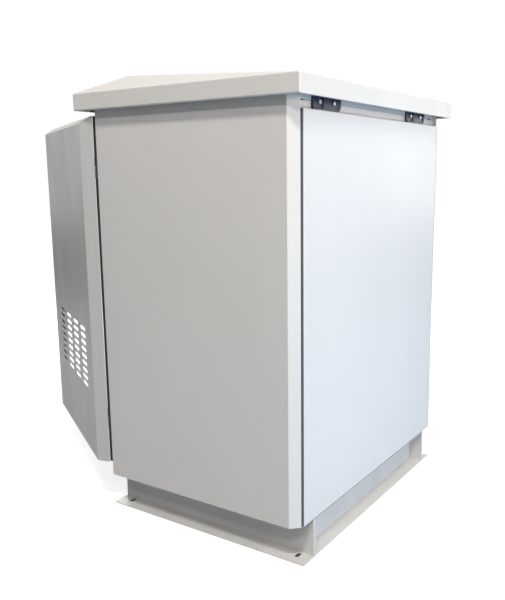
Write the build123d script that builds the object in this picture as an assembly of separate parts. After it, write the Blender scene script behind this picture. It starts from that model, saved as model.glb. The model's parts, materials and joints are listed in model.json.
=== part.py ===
from build123d import *
import math
import os

os.makedirs("parts", exist_ok=True)

# Overall sizes, millimetres. X runs along the width, the doors face minus Y, Z is up.
body_width = 1000.0
panel_depth = 714.0
plinth_height = 118.0
shown_height = 1168.0
under_roof_rise = 14.0
sheet = 2.0
corner_bevel = 26.0

# Anchor slots in the plinth feet. Their middle is the origin.
slot_from_front = 18.0
slot_from_rear = 39.0
slot_inboard = 68.5
slot_length = 26.0
slot_width = 14.0

# Plinth
plinth_sheet = 3.0
foot_inboard = 28.0
web_inboard = 86.0
foot_front_reach = 26.0
foot_rear_reach = 5.0
cross_setback = 46.0
plinth_top_flange = 30.0
beam_return = 9.0
return_clear = 0.6
flange_front_gap = 24.0
flange_rear_gap = 34.0

# Body frame
post_flange = 50.0
post_return = 25.0
sill_height = 60.0
rail_height = 62.0
post_width = 60.0
post_box = 26.0
post_depth = 42.0

# Floor
gland_length = 396.0
gland_width = 180.0
gland_lap = 18.0
gland_x = 120.0
gland_from_rear = 220.0
gland_head = 8.0
gland_head_height = 3.0

# Roof
side_overhang = 32.0
front_overhang = 56.0
rear_overhang = 33.0
rim_height = 50.0
rim_lip = 10.0
ridge_rise = 55.0
ridge_inset = 119.0
bearer_width = 60.0
bearer_inset = 120.0
bearer_from_ridge = 70.0
bearer_from_rear = 120.0
bolt_inset = 40.0
bolt_head = 6.5
bolt_head_height = 4.0

# Rear panel, its seat and its clamps
panel_inset = 33.0
panel_proud = 5.0
panel_top_drop = 29.0
panel_return = 18.0
seat_depth = 20.0
seat_width = 42.0
seal_width = 11.0
rail_lap = 38.0
sill_upstand = 36.0
seam_drop = 18.0
lap_sheet = 1.4
clamp_length = 148.0
clamp_height = 37.0
clamp_depth = 10.0
clamp_near = 184.0
clamp_far = 804.0
clamp_corner = 12.0
clamp_step = 4.0
clamp_floor = 6.0
rib_inset = 14.0
rib_width = 3.0
screw_pitch = 72.0
screw_shift = 5.8
screw_level = 0.62
screw_radius = 6.0
screw_head = 4.0
screw_socket = 2.8

# Door leaves
leaf_standoff = 12.0
leaf_depth = 34.0
leaf_bevel = 36.0
leaf_top_rise = 22.0
leaf_bottom_lift = 42.0
leaf_top_drop = 13.0
leaf_lip = 25.0
main_face_width = 664.0
leaf_gap = 6.0
open_angle = 59.5
stiffener_height = 50.0
stiffener_depth = 20.0
stiffener_share = 0.62
stiffener_end = 20.0

# Ventilation slots in the wide leaf
vent_columns = 4
vent_rows = 9
vent_length = 83.0
vent_width = 12.0
vent_pitch_x = 126.0
vent_pitch_z = 24.3
vent_centre_from_fold = 320.0
vent_centre_height = 371.0
vent_end_sides = 12

# Hinges, two lift-off ones to a leaf
hinge_in = 4.0
hinge_ahead = 4.7
hinge_height = 64.0
hinge_shares = (0.14, 0.86)
knuckle_radius = 4.2
pin_radius = 1.8
frame_strap = 36.0
door_strap = 30.0
hinge_plate = 2.8

# Doorway seals
seal_edge = 2.0
seal_face = 11.0
seal_low = 8.0
seal_nose = 4.0

# Shoot bolts inside the wide leaf's free edge
bolt_in = 66.0
bolt_bar_width = 18.0
bolt_bar_thick = 5.0
bolt_bar_length = 92.0
bolt_clear = 1.5
bolt_back_off = 6.0
guide_wall = 3.0
guide_length = 40.0
guide_from_tip = 12.0
knob_size = 14.0
knob_reach = 12.0
knob_from_end = 10.0

# Quarter-turn lock at mid-height of the narrow leaf
lock_in = 66.0
bush_radius = 11.0
barrel_radius = 8.5
collar_radius = 15.0
collar_proud = 2.0
bush_depth = 26.0
lock_nut = 15.5
lock_nut_height = 6.0
key_square = 8.0
key_depth = 8.0
cam_reach = 49.0
cam_width = 18.0
cam_thick = 3.0
cam_nut = 6.5
cam_nut_height = 5.0

# Uprights for nineteen-inch gear
rack_hole_gap = 465.1
rack_face = 30.0
rack_side = 40.0
hole_from_edge = 8.0
rack_front_setback = 70.0
rack_from_rear = 164.0
square_hole = 9.5
unit_height = 44.45
rack_units = 23
unit_holes = [6.35, 22.225, 38.1]

# Side bay
bay_plate_above_tray = 118.0
bay_plate_below_top = 160.0
foot_across = 9.0
foot_height = 24.0
earth_foot_inset = 39.0
earth_from_front = 120.0
earth_bar_width = 24.0
earth_bar_thick = 5.0
earth_bar_inset = 19.0
earth_holes = 3
earth_hole_pitch = 40.0
earth_hole = 3.3

# Fits between pieces, and how far a cutter runs past what it cuts
swing_gap = 0.4
slide_gap = 0.4
fit_gap = 0.3
press_gap = 0.05
past = 5.0

half = body_width / 2
front_y = -(panel_depth - slot_from_front - slot_from_rear) / 2 - slot_from_front
rear_y = front_y + panel_depth
base_z = plinth_height
rim_z = base_z + shown_height
body_top = rim_z + under_roof_rise


def block(x0, x1, y0, y1, z0, z1):
    """A plain box between two corners."""
    centre = Pos((x0 + x1) / 2, (y0 + y1) / 2, (z0 + z1) / 2)
    return centre * Box(abs(x1 - x0), abs(y1 - y0), abs(z1 - z0))


def banded(points, thick):
    """Outline of a folded sheet whose left side is offset by its thickness."""
    normals = []
    for (ax, ay), (bx, by) in zip(points, points[1:]):
        length = math.hypot(bx - ax, by - ay)
        normals.append((-(by - ay) / length, (bx - ax) / length))
    inner = []
    for i, (px, py) in enumerate(points):
        before = normals[max(i - 1, 0)]
        after = normals[min(i, len(normals) - 1)]
        scale = thick / (1 + before[0] * after[0] + before[1] * after[1])
        inner.append((px + (before[0] + after[0]) * scale, py + (before[1] + after[1]) * scale))
    return points + inner[::-1]


def face_of(points):
    return make_face(Polyline(*points, close=True))


def upright(points, z0, z1):
    """Plan outline raised from z0 to z1."""
    return Pos(0, 0, z0) * extrude(face_of(points), z1 - z0)


def along_x(points, x0, x1):
    """Outline given as (y, z) run from x0 to x1."""
    return Pos(x0, 0, 0) * extrude(Plane.YZ * face_of(points), x1 - x0)


def along_y(points, y0, y1):
    """Outline given as (x, z) run from y0 to y1."""
    return Pos(0, y1, 0) * extrude(Plane.XZ * face_of(points), y1 - y0)


def cyl_y(x, z, radius, y0, y1):
    """Round bar along Y."""
    return Pos(x, (y0 + y1) / 2, z) * (Rot(90, 0, 0) * Cylinder(radius, abs(y1 - y0)))


def prism_y(x, z, radius, sides, y0, y1):
    """Bar along Y with flat sides, such as a nut."""
    flat = Plane.XZ * RegularPolygon(radius, sides)
    return Pos(x, y1, z) * extrude(flat, y1 - y0)


def mirrored(shape):
    return mirror(shape, Plane.YZ)


def save(shape, name):
    solids = shape.solids()
    out = solids[0] if len(solids) == 1 else Compound(children=list(solids))
    export_step(out, "parts/" + name + ".step")
    print(name, len(solids), [round(v, 1) for v in out.bounding_box().size])


# Plinth beams with outward feet, inward top flanges and a narrow return at each end
web_x = half - web_inboard
foot_x = half - foot_inboard
foot_y0 = front_y - foot_front_reach
foot_y1 = rear_y + foot_rear_reach
foot = block(web_x - plinth_sheet, foot_x, foot_y0, foot_y1, 0, plinth_sheet)
web = block(web_x - plinth_sheet, web_x, foot_y0, foot_y1, 0, plinth_height)
top_flange = block(
    web_x - plinth_top_flange, web_x, front_y + flange_front_gap, rear_y - flange_rear_gap,
    plinth_height - plinth_sheet, plinth_height)
return_z0 = plinth_sheet + return_clear
return_z1 = base_z - sheet * 2 - return_clear
returns = block(web_x - beam_return, web_x, foot_y0, foot_y0 + plinth_sheet, return_z0, return_z1)
returns += block(web_x - beam_return, web_x, foot_y1 - plinth_sheet, foot_y1, return_z0, return_z1)
slot_x = half - slot_inboard
slot_y = [front_y + slot_from_front, rear_y - slot_from_rear]
slot_cut = extrude(SlotOverall(slot_length, slot_width), plinth_sheet + past, both=True)
beam = foot + web + top_flange + returns
for y in slot_y:
    beam -= Pos(slot_x, y, 0) * slot_cut
save(beam, "plinth_beam_right")
save(mirrored(beam), "plinth_beam_left")

# Plinth cross members, each with a foot turned outward between the beams
cross_x = web_x - plinth_sheet - fit_gap
cross_top = plinth_height - plinth_sheet - fit_gap
rear_cross_line = [
    (foot_y1, plinth_sheet), (rear_y - cross_setback, plinth_sheet),
    (rear_y - cross_setback, cross_top), (rear_y - cross_setback - plinth_top_flange, cross_top)]
front_cross_line = [
    (front_y + cross_setback + plinth_top_flange, cross_top), (front_y + cross_setback, cross_top),
    (front_y + cross_setback, plinth_sheet), (foot_y0, plinth_sheet)]
save(along_x(banded(rear_cross_line, plinth_sheet), -cross_x, cross_x), "plinth_cross_rear")
save(along_x(banded(front_cross_line, plinth_sheet), -cross_x, cross_x), "plinth_cross_front")

# Side panels: front flange with return, flat side, rear bevel, seat for the rear panel
seat_y = rear_y - seat_depth
side_line = [
    (half - post_flange, front_y + post_return),
    (half - post_flange, front_y),
    (half, front_y),
    (half, rear_y - corner_bevel),
    (half - corner_bevel, rear_y),
    (half - corner_bevel, seat_y),
    (half - corner_bevel - seat_width, seat_y)]
side_panel = upright(banded(side_line, sheet), base_z, body_top)
save(side_panel, "side_panel_right")
save(mirrored(side_panel), "side_panel_left")

# Base tray with a cable opening closed by a gland plate
inner_x = half - sheet
tray_y1 = seat_y - sheet * 2
gland_y = rear_y - gland_from_rear
tray = block(-inner_x, inner_x, front_y + sheet, tray_y1, base_z, base_z + sheet)
flange_notch = block(
    half - post_flange, half + past, front_y - past, front_y + post_return,
    base_z - past, base_z + sheet + past)
rear_corner = block(
    half - corner_bevel - sheet, half + past, rear_y - corner_bevel - sheet * 2, rear_y + past,
    base_z - past, body_top + past)
tray -= flange_notch + mirrored(flange_notch) + rear_corner + mirrored(rear_corner)
tray -= block(
    gland_x - gland_length / 2, gland_x + gland_length / 2,
    gland_y - gland_width / 2, gland_y + gland_width / 2, base_z - past, base_z + past)
save(tray, "base_tray")
gland_top = base_z + sheet * 2
gland = block(
    gland_x - gland_length / 2 - gland_lap, gland_x + gland_length / 2 + gland_lap,
    gland_y - gland_width / 2 - gland_lap, gland_y + gland_width / 2 + gland_lap,
    base_z + sheet, gland_top)
save(gland, "gland_plate")
gland_head_form = Pos(gland_x, gland_y, gland_top) * extrude(RegularPolygon(gland_head, 6), gland_head_height)
gland_screws = []
for spot in GridLocations(gland_length + gland_lap, gland_width + gland_lap, 2, 2):
    gland_screws.append(spot * gland_head_form)
save(Compound(children=gland_screws), "gland_plate_screws")

# Front frame: sill, top rail and centre post
opening_x = half - post_flange
opening_z0 = base_z + sill_height
opening_z1 = body_top - rail_height
sill_line = [
    (front_y, opening_z0),
    (front_y, base_z + sheet + fit_gap),
    (front_y + post_return, base_z + sheet + fit_gap)]
rail_line = [
    (front_y + post_return, body_top - sheet),
    (front_y, body_top - sheet),
    (front_y, opening_z1)]
frame_x = opening_x - fit_gap
save(along_x(banded(sill_line, sheet), -frame_x, frame_x), "front_sill")
save(along_x(banded(rail_line, sheet), -frame_x, frame_x), "front_top_rail")

leaf_z0 = base_z + leaf_bottom_lift
leaf_z1 = rim_z - leaf_top_drop
main_x1 = half
main_x0 = half - main_face_width - 2 * leaf_bevel
side_x1 = main_x0 - leaf_gap
side_x0 = -half
post_x = (main_x0 + side_x1) / 2
post_strip = block(
    post_x - post_width / 2, post_x + post_width / 2, front_y, front_y + sheet,
    opening_z0 + fit_gap, opening_z1 - fit_gap)
save(post_strip, "centre_post_strip")
post_top = body_top - sheet * 2 - fit_gap
post_foot = base_z + sheet * 2 + fit_gap * 2
post_front = front_y + sheet
post_rear = front_y + post_depth
post_tube = block(post_x - post_box / 2, post_x + post_box / 2, post_front, post_rear, post_foot, post_top)
post_tube -= block(
    post_x - post_box / 2 + sheet, post_x + post_box / 2 - sheet, post_front + sheet,
    post_rear - sheet, post_foot - past, post_top + past)
for low, high in ((post_foot - past, opening_z0 + fit_gap), (opening_z1 - fit_gap, post_top + past)):
    post_tube -= block(-half, half, front_y, post_front + fit_gap, low, high)
save(post_tube, "centre_post")

# Top plate over the body, its rear edge turned down over the rear rail
lap_x = half - corner_bevel - fit_gap * 3
top_plate = block(-inner_x, inner_x, front_y + post_return + fit_gap, seat_y, body_top - sheet, body_top)
seat_notch = block(
    half - corner_bevel - seat_width - fit_gap, half, seat_y - sheet - fit_gap, rear_y,
    body_top - sheet - past, body_top + past)
top_plate -= rear_corner + mirrored(rear_corner) + seat_notch + mirrored(seat_notch)
top_plate += block(-lap_x, lap_x, seat_y, seat_y + lap_sheet, body_top - seam_drop, body_top)
save(top_plate, "top_plate")

# Rear frame: top rail above the panel and a sill under it
panel_z1 = rim_z - panel_top_drop
rail_x = half - corner_bevel - seat_width - fit_gap
rail_top = body_top - sheet - fit_gap
rear_rail_line = [(seat_y, panel_z1 - rail_lap), (seat_y, rail_top), (seat_y - post_return, rail_top)]
save(along_x(banded(rear_rail_line, sheet), -rail_x, rail_x), "rear_top_rail")
rear_sill_x = cross_x - fit_gap * 3
rear_sill_line = [
    (rear_y + sheet, base_z - sheet * 2), (seat_y, base_z - sheet * 2), (seat_y, base_z + sill_upstand)]
save(along_x(banded(rear_sill_line, sheet), -rear_sill_x, rear_sill_x), "rear_sill")

# Rear lift-off panel, a shallow pan, on a rubber seal
panel_x = half - panel_inset
panel_face_y = rear_y + panel_proud
seal_y = panel_face_y - panel_return - sheet
rear_panel = block(-panel_x, panel_x, seal_y, panel_face_y, base_z, panel_z1)
rear_panel -= block(
    -panel_x + sheet, panel_x - sheet, seal_y - past, panel_face_y - sheet,
    base_z + sheet, panel_z1 - sheet)
save(rear_panel, "rear_panel")
seal = block(-panel_x, panel_x, seat_y, seal_y, base_z + fit_gap, panel_z1 - fit_gap)
seal -= block(
    -panel_x + seal_width, panel_x - seal_width, seat_y - past, seal_y + past,
    base_z + seal_width, panel_z1 - seal_width)
save(seal, "rear_panel_seal")

# Black clamps over the panel's top edge, each held by two screws
clamp_z0 = panel_z1 + fit_gap
clamp_z1 = clamp_z0 + clamp_height
clamp_y0 = seat_y + lap_sheet
clamp_y1 = clamp_y0 + clamp_depth
screw_z = clamp_z0 + clamp_height * screw_level


def clamp(centre_x):
    """Clamp body: one third set back, a thin rib near the other end, that end's lower corner cut."""
    right = centre_x - clamp_length / 2
    left = centre_x + clamp_length / 2
    outline = [
        (left, clamp_z0), (left, clamp_z1), (right, clamp_z1),
        (right, clamp_z0 + clamp_corner), (right + clamp_corner, clamp_z0)]
    body = along_y(outline, clamp_y0, clamp_y1)
    body -= block(
        left - clamp_length / 3, left + past, clamp_y1 - clamp_step, clamp_y1 + past,
        clamp_z0 + clamp_floor, clamp_z1 + past)
    body += block(
        right + rib_inset, right + rib_inset + rib_width, clamp_y1 - rib_width / 2, clamp_y1 + sheet,
        clamp_z0 + clamp_floor, clamp_z1)
    return body


clamp_xs = [half - clamp_near, half - clamp_far]
save(clamp(clamp_xs[0]), "rear_clamp_right")
save(clamp(clamp_xs[1]), "rear_clamp_left")
screws = []
for cx in clamp_xs:
    for side, seat in ((-1, clamp_y1), (1, clamp_y1 - clamp_step)):
        sx = cx + screw_shift + side * screw_pitch / 2
        head = cyl_y(sx, screw_z, screw_radius, seat, seat + screw_head)
        screws.append(head - prism_y(sx, screw_z, screw_socket, 6, seat + screw_head / 2, seat + past))
save(Compound(children=screws), "clamp_screws")

# Roof canopy: hipped, ridge near the front, hollow with a turned-in rim
roof_x = half + side_overhang
roof_y0 = front_y - front_overhang
roof_y1 = rear_y + rear_overhang
rim_top = rim_z + rim_height
ridge_z = rim_top + ridge_rise


def hipped(shrink, floor_z):
    """The roof block, shrunk by a sheet's thickness for the hollow."""
    side = [
        (roof_x - shrink, floor_z), (roof_x - shrink, rim_top - shrink),
        (roof_x - ridge_inset, ridge_z - shrink), (-roof_x + ridge_inset, ridge_z - shrink),
        (-roof_x + shrink, rim_top - shrink), (-roof_x + shrink, floor_z)]
    length = [
        (roof_y0 + shrink, floor_z), (roof_y0 + shrink, rim_top - shrink),
        (roof_y0 + ridge_inset, ridge_z - shrink), (roof_y1 - shrink, rim_top - shrink),
        (roof_y1 - shrink, floor_z)]
    return along_y(side, roof_y0 - past, roof_y1 + past) & along_x(length, -roof_x - past, roof_x + past)


canopy = hipped(0, rim_z) - hipped(sheet, rim_z + sheet)
canopy -= block(
    -roof_x + rim_lip, roof_x - rim_lip, roof_y0 + rim_lip, roof_y1 - rim_lip,
    rim_z - past, rim_z + sheet + fit_gap)
save(canopy, "roof_canopy")

# Roof bearers between the top plate and the canopy
bearer_x = half - bearer_inset
ridge_y = roof_y0 + ridge_inset
rear_slope = ridge_rise / (roof_y1 - ridge_y)


def roof_under(y):
    """Height of the rear slope's underside."""
    return ridge_z - sheet * 1.2 - (y - ridge_y) * rear_slope


def bearer(y):
    """Inverted channel along X, as high as the slope over its rear edge."""
    top = roof_under(y + bearer_width / 2)
    foot_z = body_top + sheet
    line = [
        (y + bearer_width, foot_z), (y + bearer_width / 2, foot_z), (y + bearer_width / 2, top),
        (y - bearer_width / 2, top), (y - bearer_width / 2, foot_z), (y - bearer_width, foot_z)]
    return along_x(banded(line, sheet), -bearer_x, bearer_x)


front_bearer_y = ridge_y + bearer_from_ridge
rear_bearer_y = rear_y - bearer_from_rear
save(bearer(front_bearer_y), "roof_bearer_front")
save(bearer(rear_bearer_y), "roof_bearer_rear")
roof_bolts = []
for y in (front_bearer_y, rear_bearer_y):
    for x in (-bearer_x + bolt_inset, bearer_x - bolt_inset):
        spot = Pos(x, y + bearer_width * 0.75, body_top - sheet - bolt_head_height)
        roof_bolts.append(spot * extrude(RegularPolygon(bolt_head, 6), bolt_head_height))
save(Compound(children=roof_bolts), "roof_bolts")

# Door leaves, modelled closed. The wide one is then swung to the angle in the photograph.
leaf_back_y = front_y - leaf_standoff
leaf_face_y = leaf_back_y - leaf_depth
leaf_span = leaf_z1 - leaf_z0
hinge_x = half - hinge_in
hinge_y = front_y - hinge_ahead
hinge_axis = Axis((hinge_x, hinge_y, 0), (0, 0, 1))


def leaf(x0, x1):
    """Leaf with bevelled sides and top, straight bottom and a turned-in lip."""

    def form(shrink, back, z0):
        plan = [
            (x0 + shrink, back), (x0 + leaf_bevel + shrink * 0.4, leaf_face_y + shrink),
            (x1 - leaf_bevel - shrink * 0.4, leaf_face_y + shrink), (x1 - shrink, back)]
        side = [
            (leaf_face_y + shrink, z0), (leaf_face_y + shrink, leaf_z1 - leaf_top_rise - shrink * 0.7),
            (back, leaf_z1 - shrink), (back, z0)]
        return upright(plan, leaf_z0 - past, leaf_z1 + past) & along_x(side, x0 - past, x1 + past)

    shell = form(0, leaf_back_y, leaf_z0) - form(sheet, leaf_back_y - sheet, leaf_z0 + sheet)
    shell -= block(
        x0 + leaf_lip, x1 - leaf_lip, leaf_back_y - sheet - fit_gap, leaf_back_y + past,
        leaf_z0 + leaf_lip, leaf_z1 - leaf_lip)
    return shell


def swung(shape):
    return shape.rotate(hinge_axis, open_angle)


# The vents' round ends are cut with short flats, which keeps the mesh light
vent_end = (vent_length - vent_width) / 2
vent_form = Rectangle(vent_length - vent_width, vent_width)
vent_form += Pos(vent_end, 0) * RegularPolygon(vent_width / 2, vent_end_sides)
vent_form += Pos(-vent_end, 0) * RegularPolygon(vent_width / 2, vent_end_sides)
vent_cut = extrude(Plane.XZ * vent_form, sheet + past, both=True)
vent_x = main_x1 - leaf_bevel - vent_centre_from_fold
vent_z = base_z + vent_centre_height
vent_cuts = []
for spot in GridLocations(vent_pitch_x, vent_pitch_z, vent_columns, vent_rows):
    at = spot.position
    vent_cuts.append(Pos(vent_x + at.X, leaf_face_y, vent_z + at.Y) * vent_cut)
main_skin = leaf(main_x0, main_x1) - vent_cuts
save(swung(main_skin), "main_door_skin")

lock_x = side_x1 - lock_in
lock_z = leaf_z0 + leaf_span / 2
side_skin = leaf(side_x0, side_x1)
side_skin -= cyl_y(lock_x, lock_z, bush_radius, leaf_face_y - past, leaf_face_y + past)
save(side_skin, "side_door_skin")


def stiffener(x0, x1):
    """Hat section along X on the inside of a leaf."""
    z = leaf_z0 + leaf_span * stiffener_share
    inside = leaf_face_y + sheet
    line = [
        (inside, z + stiffener_height), (inside, z + stiffener_height / 2),
        (inside + stiffener_depth, z + stiffener_height / 2),
        (inside + stiffener_depth, z - stiffener_height / 2),
        (inside, z - stiffener_height / 2), (inside, z - stiffener_height)]
    return along_x(banded(line, sheet), x0, x1)


fold_in = leaf_bevel + stiffener_end
save(swung(stiffener(main_x0 + fold_in, main_x1 - fold_in)), "main_door_stiffener")
save(stiffener(side_x0 + fold_in, side_x1 - fold_in), "side_door_stiffener")

# Hinges: a frame knuckle that holds the pin, and a door knuckle that lifts off it
hinge_zs = [leaf_z0 + leaf_span * share for share in hinge_shares]


def ring(z0, z1):
    return Pos(hinge_x, hinge_y, (z0 + z1) / 2) * Cylinder(knuckle_radius, z1 - z0)


def bore(radius):
    return Pos(hinge_x, hinge_y, body_top / 2) * Cylinder(radius, body_top * 2)


frame_halves = []
door_halves = []
pins = []
for z in hinge_zs:
    low = z - hinge_height / 2
    high = z + hinge_height / 2
    strap = block(hinge_x - frame_strap, hinge_x - fit_gap, front_y - sheet, front_y, low, high)
    strap -= block(
        hinge_x - knuckle_radius - swing_gap, hinge_x + past, front_y - past, front_y, z, high + past)
    frame_halves.append(strap + ring(low, z) - bore(pin_radius))
    tail = block(
        hinge_x - knuckle_radius, hinge_x, leaf_back_y + fit_gap, hinge_y, z + fit_gap * 2, high)
    plate = block(
        hinge_x - door_strap, hinge_x, leaf_back_y + press_gap, leaf_back_y + hinge_plate, low, high)
    door_halves.append(plate + tail + ring(z + fit_gap * 2, high) - bore(pin_radius + swing_gap))
    pins.append(Pos(hinge_x, hinge_y, z) * Cylinder(pin_radius, hinge_height))
save(Compound(children=frame_halves), "main_hinge_frame_halves")
save(Compound(children=pins), "main_hinge_pins")
save(swung(Compound(children=door_halves)), "main_hinge_door_halves")
save(mirrored(Compound(children=frame_halves)), "side_hinge_frame_halves")
save(mirrored(Compound(children=pins)), "side_hinge_pins")
save(mirrored(Compound(children=door_halves)), "side_hinge_door_halves")


def doorway_seal(x0, x1, hinge_side):
    """Rubber ring on the front frame, taller along its outer edge, cut away at the hinges."""

    def ring_of(inset, width, tall):
        a, b = x0 + inset, x1 - inset
        c, d = leaf_z0 + inset, leaf_z1 - inset
        outer = block(a, b, front_y - tall, front_y, c, d)
        return outer - block(
            a + width, b - width, front_y - tall - past, front_y + past, c + width, d - width)

    body = ring_of(seal_edge, seal_face, seal_low)
    body += ring_of(seal_edge, seal_nose, leaf_standoff - swing_gap)
    for z in hinge_zs:
        body -= block(
            hinge_side * (hinge_x - frame_strap - sheet), hinge_side * (half + past),
            front_y - leaf_standoff - past, front_y + past,
            z - hinge_height / 2 - seal_edge, z + hinge_height / 2 + seal_edge)
    return body


save(doorway_seal(main_x0, main_x1, 1), "main_door_seal")
save(doorway_seal(side_x0, side_x1, -1), "side_door_seal")

# Shoot bolts of the wide leaf: flat bars that slide up and down behind the frame
bolt_x = main_x0 + bolt_in
bar_y0 = front_y + sheet + bolt_clear
bar_y1 = bar_y0 + bolt_bar_thick
guide_half = bolt_bar_width / 2 + slide_gap + guide_wall
guide_y0 = leaf_face_y + sheet
guide_y1 = bar_y1 + slide_gap + guide_wall


def shoot_bolt(tip, way):
    """Bar with its knob; way is 1 for the upper bolt and -1 for the lower one."""
    end = tip - way * bolt_bar_length
    bar = block(
        bolt_x - bolt_bar_width / 2, bolt_x + bolt_bar_width / 2, bar_y0, bar_y1, min(tip, end), max(tip, end))
    knob_z = end + way * knob_from_end
    knob = block(
        bolt_x - knob_size / 2, bolt_x + knob_size / 2, bar_y1, bar_y1 + knob_reach,
        knob_z - knob_size / 2, knob_z + knob_size / 2)
    return bar + knob


def bolt_guide(tip, way):
    """Bracket on the leaf's inside with the bolt's slot and a hollow behind it."""
    near = tip - way * guide_from_tip
    far = near - way * guide_length
    low, high = min(near, far), max(near, far)
    body = block(bolt_x - guide_half, bolt_x + guide_half, guide_y0, guide_y1, low, high)
    body -= block(
        bolt_x - guide_half + guide_wall, bolt_x + guide_half - guide_wall,
        bar_y0 - slide_gap, bar_y1 + slide_gap, low - past, high + past)
    return body - block(
        bolt_x - guide_half + guide_wall, bolt_x + guide_half - guide_wall,
        guide_y0 + guide_wall, bar_y0 - slide_gap - guide_wall, low - past, high + past)


upper_tip = opening_z1 - bolt_back_off
lower_tip = opening_z0 + bolt_back_off
save(swung(Compound(children=[bolt_guide(upper_tip, 1), bolt_guide(lower_tip, -1)])), "main_bolt_guides")
save(swung(shoot_bolt(upper_tip, 1)), "main_bolt_upper")
save(swung(shoot_bolt(lower_tip, -1)), "main_bolt_lower")

# Quarter-turn lock: bush in the narrow leaf, barrel with its cam turning in the bush
cam_y = post_front + bolt_clear
nut_y = leaf_face_y + sheet
bush = cyl_y(lock_x, lock_z, collar_radius, leaf_face_y - collar_proud, leaf_face_y)
bush += cyl_y(lock_x, lock_z, bush_radius - press_gap, leaf_face_y, leaf_face_y + bush_depth)
bush += prism_y(lock_x, lock_z, lock_nut, 6, nut_y, nut_y + lock_nut_height)
bush -= cyl_y(
    lock_x, lock_z, barrel_radius + swing_gap, leaf_face_y - collar_proud - past,
    leaf_face_y + bush_depth + past)
save(bush, "side_lock_bush")
barrel_y0 = leaf_face_y - collar_proud + press_gap
barrel = cyl_y(lock_x, lock_z, barrel_radius, barrel_y0, cam_y)
barrel -= block(
    lock_x - key_square / 2, lock_x + key_square / 2, barrel_y0 - past, barrel_y0 + key_depth,
    lock_z - key_square / 2, lock_z + key_square / 2)
cam_low = lock_z - cam_reach
cam = block(lock_x - cam_width / 2, lock_x + cam_width / 2, cam_y, cam_y + cam_thick, cam_low, lock_z)
cam += cyl_y(lock_x, lock_z, cam_width / 2, cam_y, cam_y + cam_thick)
cam_back = cam_y + cam_thick
cam += prism_y(lock_x, lock_z, cam_nut, 6, cam_back, cam_back + cam_nut_height)
save(barrel + cam, "side_lock")

# Rack uprights for nineteen-inch gear, standing from the tray to the top plate
rack_x = (post_x + post_width / 2 + opening_x) / 2
rack_front_y = front_y + rack_front_setback
rack_rear_y = rear_y - rack_from_rear
rack_z0 = base_z + sheet
rack_z1 = body_top - sheet


def rack_angle(facing):
    """Right-hand angle; facing is 1 for the front pair."""
    inner = rack_hole_gap / 2 - hole_from_edge
    profile = [(inner, 0), (inner + rack_face, 0), (inner + rack_face, facing * rack_side)]
    return upright(banded(profile, facing * sheet), rack_z0, rack_z1)


front_angle = rack_angle(1)
first_hole = (rack_z0 + rack_z1 - rack_units * unit_height) / 2
holes = []
for unit in range(rack_units):
    for step in unit_holes:
        z = first_hole + unit * unit_height + step
        holes.append(Pos(rack_hole_gap / 2, 0, z) * Box(square_hole, sheet * 4, square_hole))
front_angle -= holes
rear_angle = rack_angle(-1)
save(Pos(rack_x, rack_front_y, 0) * front_angle, "rack_upright_front_right")
save(Pos(rack_x, rack_front_y, 0) * mirrored(front_angle), "rack_upright_front_left")
save(Pos(rack_x, rack_rear_y, 0) * rear_angle, "rack_upright_rear_right")
save(Pos(rack_x, rack_rear_y, 0) * mirrored(rear_angle), "rack_upright_rear_left")

# Side bay: mounting plate in line with the rear uprights, earth bar on the tray
bay_x1 = post_x - post_box / 2
mount_plate = block(
    -inner_x, bay_x1, rack_rear_y, rack_rear_y + sheet,
    rack_z0 + bay_plate_above_tray, body_top - bay_plate_below_top)
save(mount_plate, "side_bay_plate")
earth_y = front_y + earth_from_front
earth_z = rack_z0 + foot_height
earth_feet = []
for x in (-inner_x + earth_foot_inset, bay_x1 - earth_foot_inset):
    earth_feet.append(Pos(x, earth_y, rack_z0) * extrude(RegularPolygon(foot_across, 6), foot_height))
save(Compound(children=earth_feet), "earth_bar_feet")
earth_bar = block(
    -inner_x + earth_bar_inset, bay_x1 - earth_bar_inset,
    earth_y - earth_bar_width / 2, earth_y + earth_bar_width / 2, earth_z, earth_z + earth_bar_thick)
for spot in GridLocations(earth_hole_pitch, 0, earth_holes, 1):
    at = Pos((bay_x1 - inner_x) / 2 + spot.position.X, earth_y, earth_z)
    earth_bar -= at * Cylinder(earth_hole, earth_bar_thick * 3)
save(earth_bar, "earth_bar")
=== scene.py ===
import bpy
import bmesh
import json
from math import radians, sin, cos, tan
from mathutils import Vector, Matrix
from mathutils.bvhtree import BVHTree


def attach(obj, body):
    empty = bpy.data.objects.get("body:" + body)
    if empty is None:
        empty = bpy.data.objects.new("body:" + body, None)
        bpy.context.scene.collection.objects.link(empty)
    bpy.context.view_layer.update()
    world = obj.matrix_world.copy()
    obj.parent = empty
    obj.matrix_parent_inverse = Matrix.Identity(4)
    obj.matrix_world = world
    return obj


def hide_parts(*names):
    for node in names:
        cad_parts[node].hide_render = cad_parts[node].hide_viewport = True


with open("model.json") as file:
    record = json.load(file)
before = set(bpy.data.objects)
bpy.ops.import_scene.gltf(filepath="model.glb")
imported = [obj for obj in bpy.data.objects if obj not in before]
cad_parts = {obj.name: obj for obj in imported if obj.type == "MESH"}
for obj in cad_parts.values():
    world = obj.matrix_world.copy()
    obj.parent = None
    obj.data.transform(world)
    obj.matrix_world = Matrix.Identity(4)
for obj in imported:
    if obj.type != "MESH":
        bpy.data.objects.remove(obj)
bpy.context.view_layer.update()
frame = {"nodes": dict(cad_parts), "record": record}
print("frame loaded:", len(frame["nodes"]), "nodes")

mm = 0.001
slotOf = {part["node"]: part["material_slot"] for part in frame["record"]["subparts"]}
bodyOf = {node: body for body, nodes in frame["record"]["behaviour"]["bodies"].items() for node in nodes}


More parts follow.
